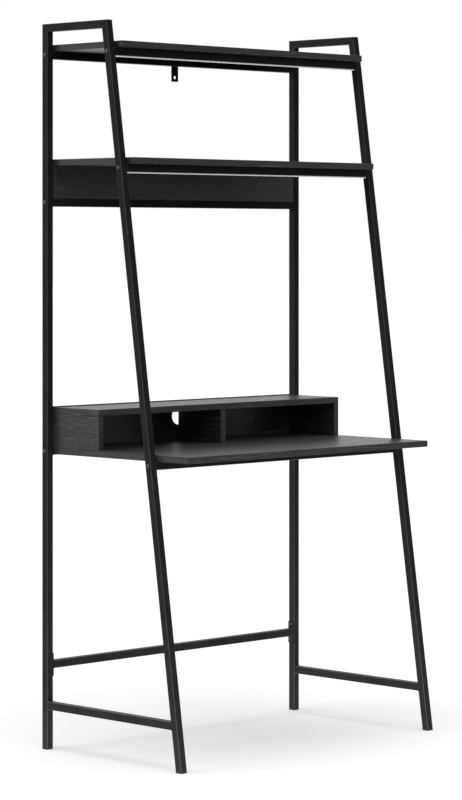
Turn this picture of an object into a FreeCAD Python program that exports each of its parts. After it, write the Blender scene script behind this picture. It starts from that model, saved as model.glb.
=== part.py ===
"""Ladder desk: raked side frames of square steel tube, cross rails, shelves, a desk top and a low hutch.

Millimetres, +Z up. X runs from the left frame to the right one, and -Y is the front, where the user sits.
The origin is on the floor, in the middle of the footprint.
"""
import FreeCAD, Part
import math
import operator
import os
import types

import Sketcher

# Driving dimensions in millimetres
SIZES = {
    # Side frames
    "overall_width": 915,
    "overall_depth": 505,
    "overall_height": 1824,
    "top_depth": 239,
    "tube_size": 20,
    "tube_wall": 1.2,
    "tube_corner": 2,
    "foot_rail_height": 101,
    # Push-in feet
    "foot_cap_height": 5,
    "foot_cap_break": 1.2,
    "foot_plug_height": 14,
    "plug_clearance": 0.15,
    # Levels of the boards
    "top_shelf_drop": 52,
    "shelf_spacing": 288,
    "desk_height": 758,
    # Boards
    "board_thickness": 16,
    "board_side_gap": 2,
    "edge_break": 0.6,
    "shelf_overhang": 26,
    "back_panel_height": 83,
    "hutch_depth": 167,
    "hutch_bay_height": 86,
    "hutch_back_thickness": 5,
    "hutch_back_rise": 2.5,
    "cable_hole_diameter": 46,
    "cable_hole_drop": 23,
    "divider_notch_depth": 8,
    "divider_notch_height": 46,
    # Rear stretcher near the floor
    "stretcher_height": 203,
    "plate_thickness": 2,
    "plate_margin": 9,
    "plate_screw_pitch": 40,
    "weld_nut_width": 10,
    "weld_nut_height": 5,
    # Bolts that hold the cross rails between the side frames
    "bolt_diameter": 6,
    "bolt_head_diameter": 11,
    "bolt_head_height": 3,
    "bolt_head_break": 1.2,
    "bolt_socket_width": 4,
    "bolt_socket_depth": 1.8,
    "bolt_clearance": 0.25,
    "end_plug_length": 12,
    # Screws that hold the boards
    "screw_diameter": 4,
    "screw_head_diameter": 8,
    "screw_head_height": 2.4,
    "screw_spread": 300,
    "screw_bite": 22,
    "edge_screw_spread": 200,
    "edge_screw_bite": 26,
    "back_screw_bite": 20,
    "back_screw_rise": 24,
    "access_clearance": 1,
    "blind_skin": 4,
    # Dowels and cam locks
    "bore_clearance": 0.05,
    "dowel_diameter": 8,
    "dowel_bite": 18,
    "dowel_inset": 30,
    "dowel_spread": 350,
    "dowel_inner_spread": 120,
    "cam_diameter": 15,
    "cam_skin": 3,
    "cam_distance": 24,
    "cam_bolt_diameter": 6,
    "cam_slot_length": 10,
    "cam_slot_width": 2,
    # Pale strips under the shelves' front rails
    "rail_strip_width": 10,
    "rail_strip_thickness": 2.5,
    # Tab for the strap that ties the desk to a wall
    "wall_tab_width": 23,
    "wall_tab_height": 40,
    "wall_tab_thickness": 2.5,
    "wall_tab_hole": 9,
    "wall_tab_hole_rise": 11,
    "wall_tab_setback": 4,
}

# How many flats go round a small fastener and its hole, round a head, and round a nut or key socket
SHANK_FLAT_COUNT = 8
HEAD_FLAT_COUNT = 12
HEXAGON_FLAT_COUNT = 6

doc = FreeCAD.newDocument("ladder_desk")
sheet = doc.addObject("Spreadsheet::Sheet", "dims")
for row, (alias, number) in enumerate(SIZES.items(), start=1):
    sheet.set(f"A{row}", alias)
    sheet.set(f"B{row}", str(number))
    sheet.setAlias(f"B{row}", alias)
doc.recompute()


class Size:
    """A length that follows the sheet: the formula that features are tied to, and the number it gives."""

    def __init__(self, formula, number):
        self.formula = formula
        self.number = number

    def joined(self, sign, work, other):
        """This size and another size or plain number, put together."""
        other = sized(other)
        return Size(f"({self.formula} {sign} {other.formula})", work(self.number, other.number))

    def __add__(self, other):
        return self.joined("+", operator.add, other)

    def __sub__(self, other):
        return self.joined("-", operator.sub, other)

    def __mul__(self, other):
        return self.joined("*", operator.mul, other)

    def __truediv__(self, other):
        return self.joined("/", operator.truediv, other)

    def __neg__(self):
        return self * -1


def sized(amount):
    """A plain number as a size; a size stays as it is."""
    return amount if isinstance(amount, Size) else Size(f"({amount})", amount)


def root(size):
    """The square root of a size."""
    return Size(f"sqrt({size.formula})", math.sqrt(size.number))


def between(low, high):
    """The middle of two sizes."""
    return (sized(low) + high) / 2


def tie(thing, name, size):
    """Makes a property of an object follow a size."""
    thing.setExpression(name, sized(size).formula)


def tie_place(thing, point):
    """Makes an object's position follow three sizes."""
    for axis, size in zip("xyz", point):
        tie(thing, f"Placement.Base.{axis}", size)


dims = types.SimpleNamespace(**{alias: Size(f"dims.{alias}", number) for alias, number in SIZES.items()})

# Depths and widths that many pieces share
TUBE = dims.tube_size
BOARD = dims.board_thickness
REAR = dims.overall_depth / 2
FRONT = -REAR
REAR_FACE = REAR - TUBE
REAR_AXIS = REAR - TUBE / 2
PANEL_AXIS = REAR_FACE + BOARD / 2
SIDE = dims.overall_width / 2
INNER = SIDE - TUBE
FRAME_AXIS = SIDE - TUBE / 2
BOARD_END = INNER - dims.board_side_gap
RAKE = (dims.overall_depth - dims.top_depth) / dims.overall_height
LEVEL_CUT = root(RAKE * RAKE + 1)

# Heights of the boards
TOP = dims.overall_height
TOP_SHELF_TOP = TOP - dims.top_shelf_drop
TOP_SHELF_LOW = TOP_SHELF_TOP - BOARD
MIDDLE_TOP = TOP_SHELF_TOP - dims.shelf_spacing
MIDDLE_LOW = MIDDLE_TOP - BOARD
MIDDLE_PANEL_LOW = MIDDLE_LOW - dims.back_panel_height
DESK_TOP = dims.desk_height
DESK_LOW = DESK_TOP - BOARD
DESK_AXIS = DESK_TOP - BOARD / 2
HUTCH_LOW = DESK_TOP + dims.hutch_bay_height
HUTCH_TOP = HUTCH_LOW + BOARD
HUTCH_FRONT = REAR_FACE - dims.hutch_depth
HUTCH_AXIS = HUTCH_LOW + BOARD / 2
HUTCH_BACK_LOW = DESK_AXIS + TUBE / 2
HUTCH_BACK_TOP = HUTCH_TOP + dims.hutch_back_rise
HUTCH_BACK_REAR = REAR_FACE + dims.hutch_back_thickness
NOTCH_LOW = HUTCH_LOW - dims.divider_notch_height

# Heights of the cross rails' middle lines
TOP_RAIL_AXIS = TOP_SHELF_LOW - TUBE / 2
MIDDLE_FRONT_AXIS = MIDDLE_LOW - TUBE / 2
MIDDLE_REAR_AXIS = MIDDLE_PANEL_LOW - TUBE / 2
DESK_FRONT_AXIS = DESK_LOW - TUBE / 2
STRETCHER_AXIS = dims.stretcher_height + TUBE / 2

# Holes and bores
BOLT_HOLE = dims.bolt_diameter + dims.bolt_clearance * 2
BOLT_BORE = dims.bolt_diameter + dims.bore_clearance * 2
SCREW_HOLE = dims.screw_diameter + dims.bolt_clearance * 2
SCREW_BORE = dims.screw_diameter + dims.bore_clearance * 2
SCREW_HEAD_BORE = dims.screw_head_diameter + dims.bolt_clearance * 2
ACCESS_HOLE = dims.screw_head_diameter + dims.access_clearance * 2
DOWEL_BORE = dims.dowel_diameter + dims.bore_clearance * 2
CAM_BORE = dims.cam_diameter + dims.bore_clearance * 2
CAM_BOLT_BORE = dims.cam_bolt_diameter + dims.bore_clearance * 2
CAM_DEPTH = BOARD - dims.cam_skin
BLIND_DEPTH = BOARD - dims.blind_skin

# Turns of a piece that is drawn standing up, with +Z along it
UP = FreeCAD.Rotation()
TO_RIGHT = FreeCAD.Rotation(FreeCAD.Vector(0, 1, 0), 90)
TO_LEFT = FreeCAD.Rotation(FreeCAD.Vector(0, 1, 0), -90)
TO_FRONT = FreeCAD.Rotation(FreeCAD.Vector(1, 0, 0), 90)
LEFT = -1
RIGHT = 1
SIDES = {"left": LEFT, "right": RIGHT}
INWARD = {LEFT: TO_RIGHT, RIGHT: TO_LEFT}
OUTWARD = {LEFT: TO_LEFT, RIGHT: TO_RIGHT}
PAIR = (LEFT, RIGHT)

subparts = []


# Ways of shaping a piece
def new_body(label, export=True):
    """An empty body with its label, kept as a sub-part unless it is only copied from."""
    body = doc.addObject("PartDesign::Body", label)
    body.Label = label
    if export:
        subparts.append(body)
    return body


def new_sketch(body, role, offset=0):
    """A sketch on one of the body's own planes, moved along the plane's normal."""
    plane = next(item for item in body.Origin.OriginFeatures if item.Role == role)
    sketch = body.newObject("Sketcher::SketchObject", f"{body.Name}_sketch")
    sketch.AttachmentSupport = [(plane, "")]
    sketch.MapMode = "FlatFace"
    tie(sketch, "AttachmentOffset.Base.z", offset)
    return sketch


def pin(sketch, kind, geometry, size, point=None):
    """Adds a dimension to a sketch and ties it to a size."""
    size = sized(size)
    target = (geometry,) if point is None else (geometry, point)
    index = sketch.addConstraint(Sketcher.Constraint(kind, *target, size.number))
    tie(sketch, f"Constraints[{index}]", size)


def outline(sketch, corners):
    """A closed straight outline through corners, each a pair of sizes."""
    first = sketch.GeometryCount
    count = len(corners)
    places = [FreeCAD.Vector(sized(u).number, sized(v).number, 0) for u, v in corners]
    for step in range(count):
        sketch.addGeometry(Part.LineSegment(places[step], places[(step + 1) % count]), False)
    for step, (u, v) in enumerate(corners):
        following = first + (step + 1) % count
        sketch.addConstraint(Sketcher.Constraint("Coincident", first + step, 2, following, 1))
        pin(sketch, "DistanceX", first + step, u, point=1)
        pin(sketch, "DistanceY", first + step, v, point=1)
    return sketch


def rectangle(sketch, low, high):
    """A rectangle between two corners."""
    return outline(sketch, [low, (high[0], low[1]), high, (low[0], high[1])])


def circle(sketch, centre, diameter):
    """A circle about a centre, a pair of sizes."""
    u, v = centre
    middle = FreeCAD.Vector(sized(u).number, sized(v).number, 0)
    shape = Part.Circle(middle, FreeCAD.Vector(0, 0, 1), diameter.number / 2)
    index = sketch.addGeometry(shape, False)
    pin(sketch, "DistanceX", index, u, point=3)
    pin(sketch, "DistanceY", index, v, point=3)
    pin(sketch, "Diameter", index, diameter)
    return sketch


def extrude(body, kind, sketch, length):
    """Pads or pockets a sketch, half of the length to each side of its plane."""
    feature = body.newObject(f"PartDesign::{kind}", f"{body.Name}_{kind.lower()}")
    feature.Profile = sketch
    feature.SideType = "Symmetric"
    tie(feature, "Length", length)
    doc.recompute()


def checked_cut(make):
    """Makes a cutting function raise an error where it takes nothing off the body."""

    def cutter(body, *details, **named):
        before = body.Shape.Volume
        make(body, *details, **named)
        if not body.Shape.Volume < before:
            raise ValueError(f"a cut in {body.Label} removes nothing")

    return cutter


@checked_cut
def cut(body, sketch, length):
    """Cuts a sketch out of the body."""
    extrude(body, "Pocket", sketch, length)


def prism(body, kind, flats, width, start, length, turn=UP):
    """Adds or cuts a bar with equal flats, from a start point along the direction that +Z turns to."""
    feature = body.newObject(f"PartDesign::{kind}Prism", f"{body.Name}_flats")
    feature.Polygon = flats
    feature.Placement = FreeCAD.Placement(FreeCAD.Vector(), turn)
    tie(feature, "Circumradius", width / (2 * math.cos(math.pi / flats)))
    tie(feature, "Height", length)
    tie_place(feature, start)
    doc.recompute()


@checked_cut
def hole(body, start, depth, width, turn=UP, flats=SHANK_FLAT_COUNT):
    """A hole for a fastener, from a start point along the direction that +Z turns to."""
    prism(body, "Subtractive", flats, width, start, depth, turn)


def dress(body, kind, size, wanted):
    """Rounds or breaks the edges of the body that pass a test."""
    base = body.Tip
    names = [f"Edge{number}" for number, edge in enumerate(base.Shape.Edges, start=1) if wanted(edge)]
    feature = body.newObject(f"PartDesign::{kind}", f"{body.Name}_{kind.lower()}")
    feature.Base = (base, names)
    tie(feature, {"Fillet": "Radius", "Chamfer": "Size"}[kind], size)
    doc.recompute()


def along(direction):
    """A test for edges that are parallel to a direction."""
    unit = FreeCAD.Vector(*direction).normalize()

    def wanted(edge):
        return abs(edge.tangentAt(edge.FirstParameter).dot(unit)) > 0.9999

    return wanted


def group(label, model, places):
    """Equal separate pieces in one sub-part, each at a point of sizes and with a turn."""
    copies = []
    for point, turn in places:
        copy = doc.addObject("App::Link", f"{label}_piece")
        copy.LinkedObject = model
        copy.Placement = FreeCAD.Placement(FreeCAD.Vector(), turn)
        tie_place(copy, point)
        copies.append(copy)
    compound = doc.addObject("Part::Compound", label)
    compound.Label = label
    compound.Links = copies
    subparts.append(compound)


# Side frames, welded from square tube with mitred top corners
def rear_band(height, inset=0):
    """Depths of a rear post's front and rear faces, moved into its wall by inset: the same at any height."""
    return REAR_FACE + inset, REAR - inset


def front_band(height, inset=0):
    """Depths of a raked front post's front and rear faces at a height, moved into its wall by inset."""
    start = FRONT + RAKE * height
    return start + LEVEL_CUT * inset, start + LEVEL_CUT * (TUBE - inset)


def front_axis(height):
    """Depth of a front post's middle line at a height."""
    return between(*front_band(height))


def band_shape(band, low, high, inset=0):
    """The outline of a post between two heights."""
    low_front, low_rear = band(low, inset)
    high_front, high_rear = band(high, inset)
    return [(low_front, low), (low_rear, low), (high_rear, high), (high_front, high)]


CAP = dims.foot_cap_height
WALL = dims.tube_wall
UNDER_TOP = TOP - TUBE
MITRE_REAR = rear_band(UNDER_TOP)[0]
MITRE_FRONT = front_band(UNDER_TOP)[1]
TOP_FRONT = front_band(TOP)[0]
UPRIGHT = (0, 0, 1)
LEVEL = (0, 1, 0)
RAKED = (0, RAKE.number, 1)
REAR_BOLTS = [(REAR_AXIS, height) for height in (TOP_RAIL_AXIS, MIDDLE_REAR_AXIS, DESK_AXIS)]
FRONT_RAIL_AXES = (TOP_RAIL_AXIS, MIDDLE_FRONT_AXIS, DESK_FRONT_AXIS)
FRONT_BOLTS = [(front_axis(height), height) for height in FRONT_RAIL_AXES]
PLATE_SCREWS = [(REAR_AXIS, STRETCHER_AXIS + dims.plate_screw_pitch / 2 * way) for way in PAIR]


def side_tube(label, side, shape, hollow, direction):
    """One tube of a side frame, drawn from the side: its outer shape and the hollow that runs through it."""
    body = new_body(label)
    middle = FRAME_AXIS * side
    extrude(body, "Pad", outline(new_sketch(body, "YZ_Plane", middle), shape), TUBE)
    dress(body, "Fillet", dims.tube_corner, along(direction))
    cut(body, outline(new_sketch(body, "YZ_Plane", middle), hollow), TUBE - WALL * 2)
    return body


def bolt_holes(body, side, bolts):
    """Holes for the rail bolts, through both side walls of a post."""
    for depth, height in bolts:
        hole(body, (SIDE * side, depth, height), TUBE, BOLT_HOLE, INWARD[side])


def rear_post(name, side):
    """Upright rear post, with holes for its rails and for the stretcher's screws."""
    shape = [(REAR_FACE, CAP), (REAR, CAP), (REAR, TOP), (MITRE_REAR, UNDER_TOP)]
    hollow = band_shape(rear_band, 0, TOP + TUBE, WALL)
    body = side_tube(f"{name}_rear_post", side, shape, hollow, UPRIGHT)
    bolt_holes(body, side, REAR_BOLTS)
    for depth, height in PLATE_SCREWS:
        hole(body, (INNER * side, depth, height), WALL, BOLT_HOLE, OUTWARD[side])


def front_post(name, side):
    """Raked front post, with holes for its rails."""
    cap_front, cap_rear = front_band(CAP)
    shape = [(cap_front, CAP), (cap_rear, CAP), (MITRE_FRONT, UNDER_TOP), (TOP_FRONT, TOP)]
    hollow = band_shape(front_band, 0, TOP + TUBE, WALL)
    body = side_tube(f"{name}_front_post", side, shape, hollow, RAKED)
    bolt_holes(body, side, FRONT_BOLTS)


def level_hollow(start, end, low, high):
    """The hollow of a level tube, which runs past both of its ends."""
    first = start - TUBE
    last = end + TUBE
    return [(first, low + WALL), (last, low + WALL), (last, high - WALL), (first, high - WALL)]


def top_rail(name, side):
    """Level rail that closes a side frame at the top, mitred at both ends."""
    shape = [(TOP_FRONT, TOP), (MITRE_FRONT, UNDER_TOP), (MITRE_REAR, UNDER_TOP), (REAR, TOP)]
    hollow = level_hollow(TOP_FRONT, REAR, UNDER_TOP, TOP)
    side_tube(f"{name}_top_rail", side, shape, hollow, LEVEL)


def foot_rail(name, side):
    """Level rail low in a side frame, cut at the rake where it meets the front post."""
    low = dims.foot_rail_height
    high = low + TUBE
    low_front = front_band(low)[1]
    high_front = front_band(high)[1]
    shape = [(low_front, low), (REAR_FACE, low), (REAR_FACE, high), (high_front, high)]
    side_tube(f"{name}_foot_rail", side, shape, level_hollow(low_front, REAR_FACE, low, high), LEVEL)


def foot(label, side, band):
    """Plastic foot: a cap under the post with broken edges, and a plug that pushes into the tube."""
    body = new_body(label)
    cap_front, cap_rear = band(CAP)
    sole = new_sketch(body, "XY_Plane", CAP / 2)
    rectangle(sole, (INNER * side, cap_front), (SIDE * side, cap_rear))
    extrude(body, "Pad", sole, CAP)
    dress(body, "Chamfer", dims.foot_cap_break, along(UPRIGHT))
    dress(body, "Chamfer", dims.foot_cap_break, lambda edge: edge.BoundBox.ZMax < CAP.number / 2)
    inset = WALL + dims.plug_clearance
    plug = band_shape(band, CAP, CAP + dims.foot_plug_height, inset)
    extrude(body, "Pad", outline(new_sketch(body, "YZ_Plane", FRAME_AXIS * side), plug), TUBE - inset * 2)


for name, side in SIDES.items():
    rear_post(name, side)
    front_post(name, side)
    top_rail(name, side)
    foot_rail(name, side)
    foot(f"{name}_rear_foot", side, rear_band)
    foot(f"{name}_front_foot", side, front_band)


# Cross rails between the side frames
def cross_rail(label, depth, height, end=INNER):
    """Square tube across the desk, centred at a depth and a height, reaching to both ends."""
    body = new_body(label)

    def section(reach):
        low = (depth - reach, height - reach)
        high = (depth + reach, height + reach)
        return rectangle(new_sketch(body, "YZ_Plane"), low, high)

    extrude(body, "Pad", section(TUBE / 2), end * 2)
    dress(body, "Fillet", dims.tube_corner, along((1, 0, 0)))
    cut(body, section(TUBE / 2 - WALL), end * 2)
    return body


def spread_pair(spread, depth):
    """Two points across the desk, the same distance to each side of the middle."""
    return [(spread * way, depth) for way in PAIR]


def screw_seat(height):
    """Height of the inner face of a rail's upper wall, where the screws into a board have their heads."""
    return height + TUBE / 2 - WALL


def drilled_rail(label, depth, height, screws):
    """A cross rail with screw holes in its upper wall and wider holes under them for the driver."""
    body = cross_rail(label, depth, height)
    for across, screw_depth in screws:
        hole(body, (across, screw_depth, screw_seat(height)), WALL, SCREW_HOLE)
        hole(body, (across, screw_depth, height - TUBE / 2), WALL, ACCESS_HOLE, flats=HEAD_FLAT_COUNT)


TOP_FRONT_SCREWS = spread_pair(dims.screw_spread, front_axis(TOP_RAIL_AXIS))
TOP_REAR_SCREWS = spread_pair(dims.screw_spread, REAR_AXIS)
MIDDLE_SCREWS = spread_pair(dims.screw_spread, front_axis(MIDDLE_FRONT_AXIS))
DESK_SCREWS = spread_pair(dims.screw_spread, front_axis(DESK_FRONT_AXIS))
PANEL_SCREWS = spread_pair(dims.screw_spread, PANEL_AXIS)
DESK_EDGE_SCREWS = spread_pair(dims.edge_screw_spread, DESK_AXIS)


def desk_rear_rail():
    """Rail behind the desk top, drilled for screws into the desk's rear edge and for their driver."""
    body = cross_rail("desk_rear_rail", REAR_AXIS, DESK_AXIS)
    for across, height in DESK_EDGE_SCREWS:
        hole(body, (across, REAR_FACE + WALL, height), WALL, SCREW_HOLE, TO_FRONT)
        hole(body, (across, REAR, height), WALL, ACCESS_HOLE, TO_FRONT, HEAD_FLAT_COUNT)


drilled_rail("top_shelf_front_rail", front_axis(TOP_RAIL_AXIS), TOP_RAIL_AXIS, TOP_FRONT_SCREWS)
drilled_rail("top_shelf_rear_rail", REAR_AXIS, TOP_RAIL_AXIS, TOP_REAR_SCREWS)
drilled_rail("middle_shelf_front_rail", front_axis(MIDDLE_FRONT_AXIS), MIDDLE_FRONT_AXIS, MIDDLE_SCREWS)
drilled_rail("middle_shelf_rear_rail", REAR_AXIS, MIDDLE_REAR_AXIS, PANEL_SCREWS)
drilled_rail("desk_front_rail", front_axis(DESK_FRONT_AXIS), DESK_FRONT_AXIS, DESK_SCREWS)
desk_rear_rail()

# Rear stretcher with an end plate at each side, screwed to the rear posts
PLATE_FACE = INNER - dims.plate_thickness
PLATE_REACH = dims.plate_screw_pitch / 2 + dims.plate_margin
cross_rail("rear_stretcher", REAR_AXIS, STRETCHER_AXIS, PLATE_FACE)


def stretcher_plate(name, side):
    """Flat plate welded to an end of the stretcher, with a screw hole above and below the tube."""
    body = new_body(f"{name}_stretcher_plate")
    sketch = new_sketch(body, "YZ_Plane", between(PLATE_FACE, INNER) * side)
    rectangle(sketch, (REAR_FACE, STRETCHER_AXIS - PLATE_REACH), (REAR, STRETCHER_AXIS + PLATE_REACH))
    extrude(body, "Pad", sketch, dims.plate_thickness)
    for depth, height in PLATE_SCREWS:
        hole(body, (PLATE_FACE * side, depth, height), dims.plate_thickness, BOLT_HOLE, OUTWARD[side])


for name, side in SIDES.items():
    stretcher_plate(name, side)


def wall_tab():
    """Tab welded under the middle of the top rear rail, with a round hole for the wall strap."""
    body = new_body("wall_tab")
    high = TOP_RAIL_AXIS - TUBE / 2
    low = high - dims.wall_tab_height
    half = dims.wall_tab_width / 2
    thickness = dims.wall_tab_thickness
    depth = REAR_AXIS + dims.wall_tab_setback
    plate = new_sketch(body, "XZ_Plane", -depth)
    extrude(body, "Pad", rectangle(plate, (-half, low), (half, high)), thickness)
    strap_hole = new_sketch(body, "XZ_Plane", -depth)
    cut(body, circle(strap_hole, (0, low + dims.wall_tab_hole_rise), dims.wall_tab_hole), thickness)


wall_tab()


# Boards, faced particle board with broken edges
def board(label, low, high):
    """A flat board between two corners, each a triple of sizes."""
    body = new_body(label)
    sketch = rectangle(new_sketch(body, "XY_Plane", between(low[2], high[2])), low[:2], high[:2])
    extrude(body, "Pad", sketch, high[2] - low[2])
    dress(body, "Chamfer", dims.edge_break, lambda edge: True)
    return body


def bore_up(body, low, depth, places, width):
    """Bores up into a board from its lower face."""
    for across, back in places:
        hole(body, (across, back, low), depth, width)


def bore_down(body, high, depth, places, width):
    """Bores down into a board from its upper edge."""
    for across, back in places:
        hole(body, (across, back, high - depth), depth, width)


def rail_strip(label, height):
    """Thin strip stuck along the underside of a shelf's front rail."""
    depth = front_axis(height)
    half = dims.rail_strip_width / 2
    high = height - TUBE / 2
    low = (-BOARD_END, depth - half, high - dims.rail_strip_thickness)
    board(label, low, (BOARD_END, depth + half, high))


rail_strip("top_shelf_rail_strip", TOP_RAIL_AXIS)
rail_strip("middle_shelf_rail_strip", MIDDLE_FRONT_AXIS)

UPRIGHT_AXIS = BOARD_END - BOARD / 2
HUTCH_AXES = (-UPRIGHT_AXIS, sized(0), UPRIGHT_AXIS)
DOWEL_DEPTHS = (HUTCH_FRONT + dims.dowel_inset, REAR_FACE - dims.dowel_inset)
CAM_PLACE = (between(HUTCH_FRONT, REAR_FACE), HUTCH_LOW - dims.cam_distance)
HUTCH_DOWELS = [(across, depth) for across in HUTCH_AXES for depth in DOWEL_DEPTHS]
CAM_BOLTS = [(across, CAM_PLACE[0]) for across in HUTCH_AXES]
UPRIGHT_SCREW_HEIGHT = DESK_TOP + dims.back_screw_rise
UPRIGHT_BACK_SCREWS = [(across, UPRIGHT_SCREW_HEIGHT) for across in HUTCH_AXES]
TOP_BACK_SCREWS = spread_pair(dims.screw_spread, HUTCH_AXIS)
BACK_SCREWS = UPRIGHT_BACK_SCREWS + TOP_BACK_SCREWS
PANEL_DOWELS = spread_pair(dims.dowel_spread, PANEL_AXIS) + spread_pair(dims.dowel_inner_spread, PANEL_AXIS)


def top_shelf():
    """Upper shelf on its two rails, reaching past the front posts."""
    front = front_band(TOP_SHELF_TOP)[0] - dims.shelf_overhang
    body = board("top_shelf", (-BOARD_END, front, TOP_SHELF_LOW), (BOARD_END, REAR, TOP_SHELF_TOP))
    bore_up(body, TOP_SHELF_LOW, BLIND_DEPTH, TOP_FRONT_SCREWS + TOP_REAR_SCREWS, SCREW_BORE)


def middle_shelf():
    """Lower shelf on its front rail and on the back panel under its rear edge."""
    front = front_band(MIDDLE_TOP)[0] - dims.shelf_overhang
    body = board("middle_shelf", (-BOARD_END, front, MIDDLE_LOW), (BOARD_END, REAR, MIDDLE_TOP))
    bore_up(body, MIDDLE_LOW, BLIND_DEPTH, MIDDLE_SCREWS, SCREW_BORE)
    bore_up(body, MIDDLE_LOW, BLIND_DEPTH, PANEL_DOWELS, DOWEL_BORE)


def back_panel():
    """Panel between the rear posts, standing on a rail under the middle shelf's rear edge."""
    low = (-BOARD_END, REAR_FACE, MIDDLE_PANEL_LOW)
    body = board("middle_back_panel", low, (BOARD_END, REAR_FACE + BOARD, MIDDLE_LOW))
    bore_up(body, MIDDLE_PANEL_LOW, dims.screw_bite, PANEL_SCREWS, SCREW_BORE)
    bore_down(body, MIDDLE_LOW, dims.dowel_bite, PANEL_DOWELS, DOWEL_BORE)


def bore_forward(body, depth, places, width, face=REAR_FACE):
    """Bores a board towards the front, from a face at its rear."""
    for across, height in places:
        hole(body, (across, face, height), depth, width, TO_FRONT)


def hutch_back():
    """Thin back of the hutch, standing just above its top, with a round cable hole behind the divider."""
    low = (-BOARD_END, REAR_FACE, HUTCH_BACK_LOW)
    body = board("hutch_back", low, (BOARD_END, HUTCH_BACK_REAR, HUTCH_BACK_TOP))
    thickness = dims.hutch_back_thickness
    cable_hole = new_sketch(body, "XZ_Plane", -between(REAR_FACE, HUTCH_BACK_REAR))
    centre = (0, HUTCH_LOW - dims.cable_hole_drop)
    cut(body, circle(cable_hole, centre, dims.cable_hole_diameter), thickness)
    bore_forward(body, thickness, BACK_SCREWS, SCREW_HOLE, HUTCH_BACK_REAR)


def desk_top():
    """Desk board between the frames, from the front feet's line back to the rear rail."""
    body = board("desk_top", (-BOARD_END, FRONT, DESK_LOW), (BOARD_END, REAR_FACE, DESK_TOP))
    bore_up(body, DESK_LOW, BLIND_DEPTH, DESK_SCREWS, SCREW_BORE)
    bore_up(body, DESK_LOW, BOARD, HUTCH_DOWELS, SCREW_HOLE)
    bore_up(body, DESK_LOW, dims.screw_head_height, HUTCH_DOWELS, SCREW_HEAD_BORE)
    bore_forward(body, dims.edge_screw_bite, DESK_EDGE_SCREWS, SCREW_BORE)


def hutch_top():
    """Top of the hutch, over its sides and divider, with its back behind it."""
    body = board("hutch_top", (-BOARD_END, HUTCH_FRONT, HUTCH_LOW), (BOARD_END, REAR_FACE, HUTCH_TOP))
    bore_up(body, HUTCH_LOW, BLIND_DEPTH, HUTCH_DOWELS, DOWEL_BORE)
    bore_up(body, HUTCH_LOW, BLIND_DEPTH, CAM_BOLTS, CAM_BOLT_BORE)
    bore_forward(body, dims.back_screw_bite, TOP_BACK_SCREWS, SCREW_BORE)


def hutch_upright(label, across, cam_face, cam_side):
    """Side or divider of the hutch, bored for screws from the desk, dowels and a cam lock on one face."""
    low = (across - BOARD / 2, HUTCH_FRONT, DESK_TOP)
    high = (across + BOARD / 2, REAR_FACE, HUTCH_LOW)
    body = board(label, low, high)
    places = [(across, depth) for depth in DOWEL_DEPTHS]
    bore_up(body, DESK_TOP, dims.screw_bite, places, SCREW_BORE)
    bore_down(body, HUTCH_LOW, dims.dowel_bite, places, DOWEL_BORE)
    bore_down(body, HUTCH_LOW, dims.cam_distance, [(across, CAM_PLACE[0])], CAM_BOLT_BORE)
    bore_forward(body, dims.back_screw_bite, [(across, UPRIGHT_SCREW_HEIGHT)], SCREW_BORE)
    hole(body, (cam_face, *CAM_PLACE), CAM_DEPTH, CAM_BORE, OUTWARD[cam_side], HEAD_FLAT_COUNT)
    return body


def hutch_divider(cam_face, cam_side):
    """Divider in the middle of the hutch, with its rear top corner cut away before the cable hole."""
    body = hutch_upright("hutch_divider", HUTCH_AXES[1], cam_face, cam_side)
    low = (REAR_FACE - dims.divider_notch_depth, NOTCH_LOW)
    cut(body, rectangle(new_sketch(body, "YZ_Plane"), low, (REAR_FACE, HUTCH_LOW)), BOARD)


# The face that each cam lock is let into, and the way from there into the board
LEFT_CAM = (BOARD - BOARD_END, LEFT)
MIDDLE_CAM = (BOARD / 2, LEFT)
RIGHT_CAM = (BOARD_END - BOARD, RIGHT)
top_shelf()
middle_shelf()
back_panel()
desk_top()
hutch_top()
hutch_upright("hutch_left_side", HUTCH_AXES[0], *LEFT_CAM)
hutch_divider(*MIDDLE_CAM)
hutch_upright("hutch_right_side", HUTCH_AXES[2], *RIGHT_CAM)
hutch_back()


# Fasteners, drawn with the head under the XY plane and the shank up from it
def headed(label, flats, head_width, head_height, width, length):
    """A head with a shank."""
    body = new_body(label, export=False)
    prism(body, "Additive", flats, head_width, (0, 0, -head_height), head_height)
    prism(body, "Additive", SHANK_FLAT_COUNT, width, (0, 0, 0), length)
    return body


def bolt(label, length):
    """Button-head bolt with a hexagon socket."""
    height = dims.bolt_head_height
    body = headed(label, HEAD_FLAT_COUNT, dims.bolt_head_diameter, height, dims.bolt_diameter, length)
    dress(body, "Chamfer", dims.bolt_head_break, lambda edge: edge.BoundBox.ZMax < -height.number / 2)
    hole(body, (0, 0, -height), dims.bolt_socket_depth, dims.bolt_socket_width, flats=HEXAGON_FLAT_COUNT)
    return body


def screw(label, length):
    """Flat-headed screw."""
    head = (dims.screw_head_diameter, dims.screw_head_height)
    return headed(label, SHANK_FLAT_COUNT, *head, dims.screw_diameter, length)


def bar(label, flats, width, length):
    """A plain piece with equal flats, standing on the XY plane."""
    body = new_body(label, export=False)
    prism(body, "Additive", flats, width, (0, 0, 0), length)
    return body


def end_plug():
    """Square plug with a threaded bore, welded into the end of a rail."""
    body = new_body("end_plug", export=False)
    half = TUBE / 2 - WALL - dims.plug_clearance
    length = dims.end_plug_length
    square = new_sketch(body, "XY_Plane", length / 2)
    extrude(body, "Pad", rectangle(square, (-half, -half), (half, half)), length)
    hole(body, (0, 0, 0), length, BOLT_BORE)
    return body


def weld_nut():
    """Hexagon nut that is welded inside a rear post."""
    body = bar("weld_nut", HEXAGON_FLAT_COUNT, dims.weld_nut_width, dims.weld_nut_height)
    hole(body, (0, 0, 0), dims.weld_nut_height, BOLT_BORE)
    return body


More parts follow.
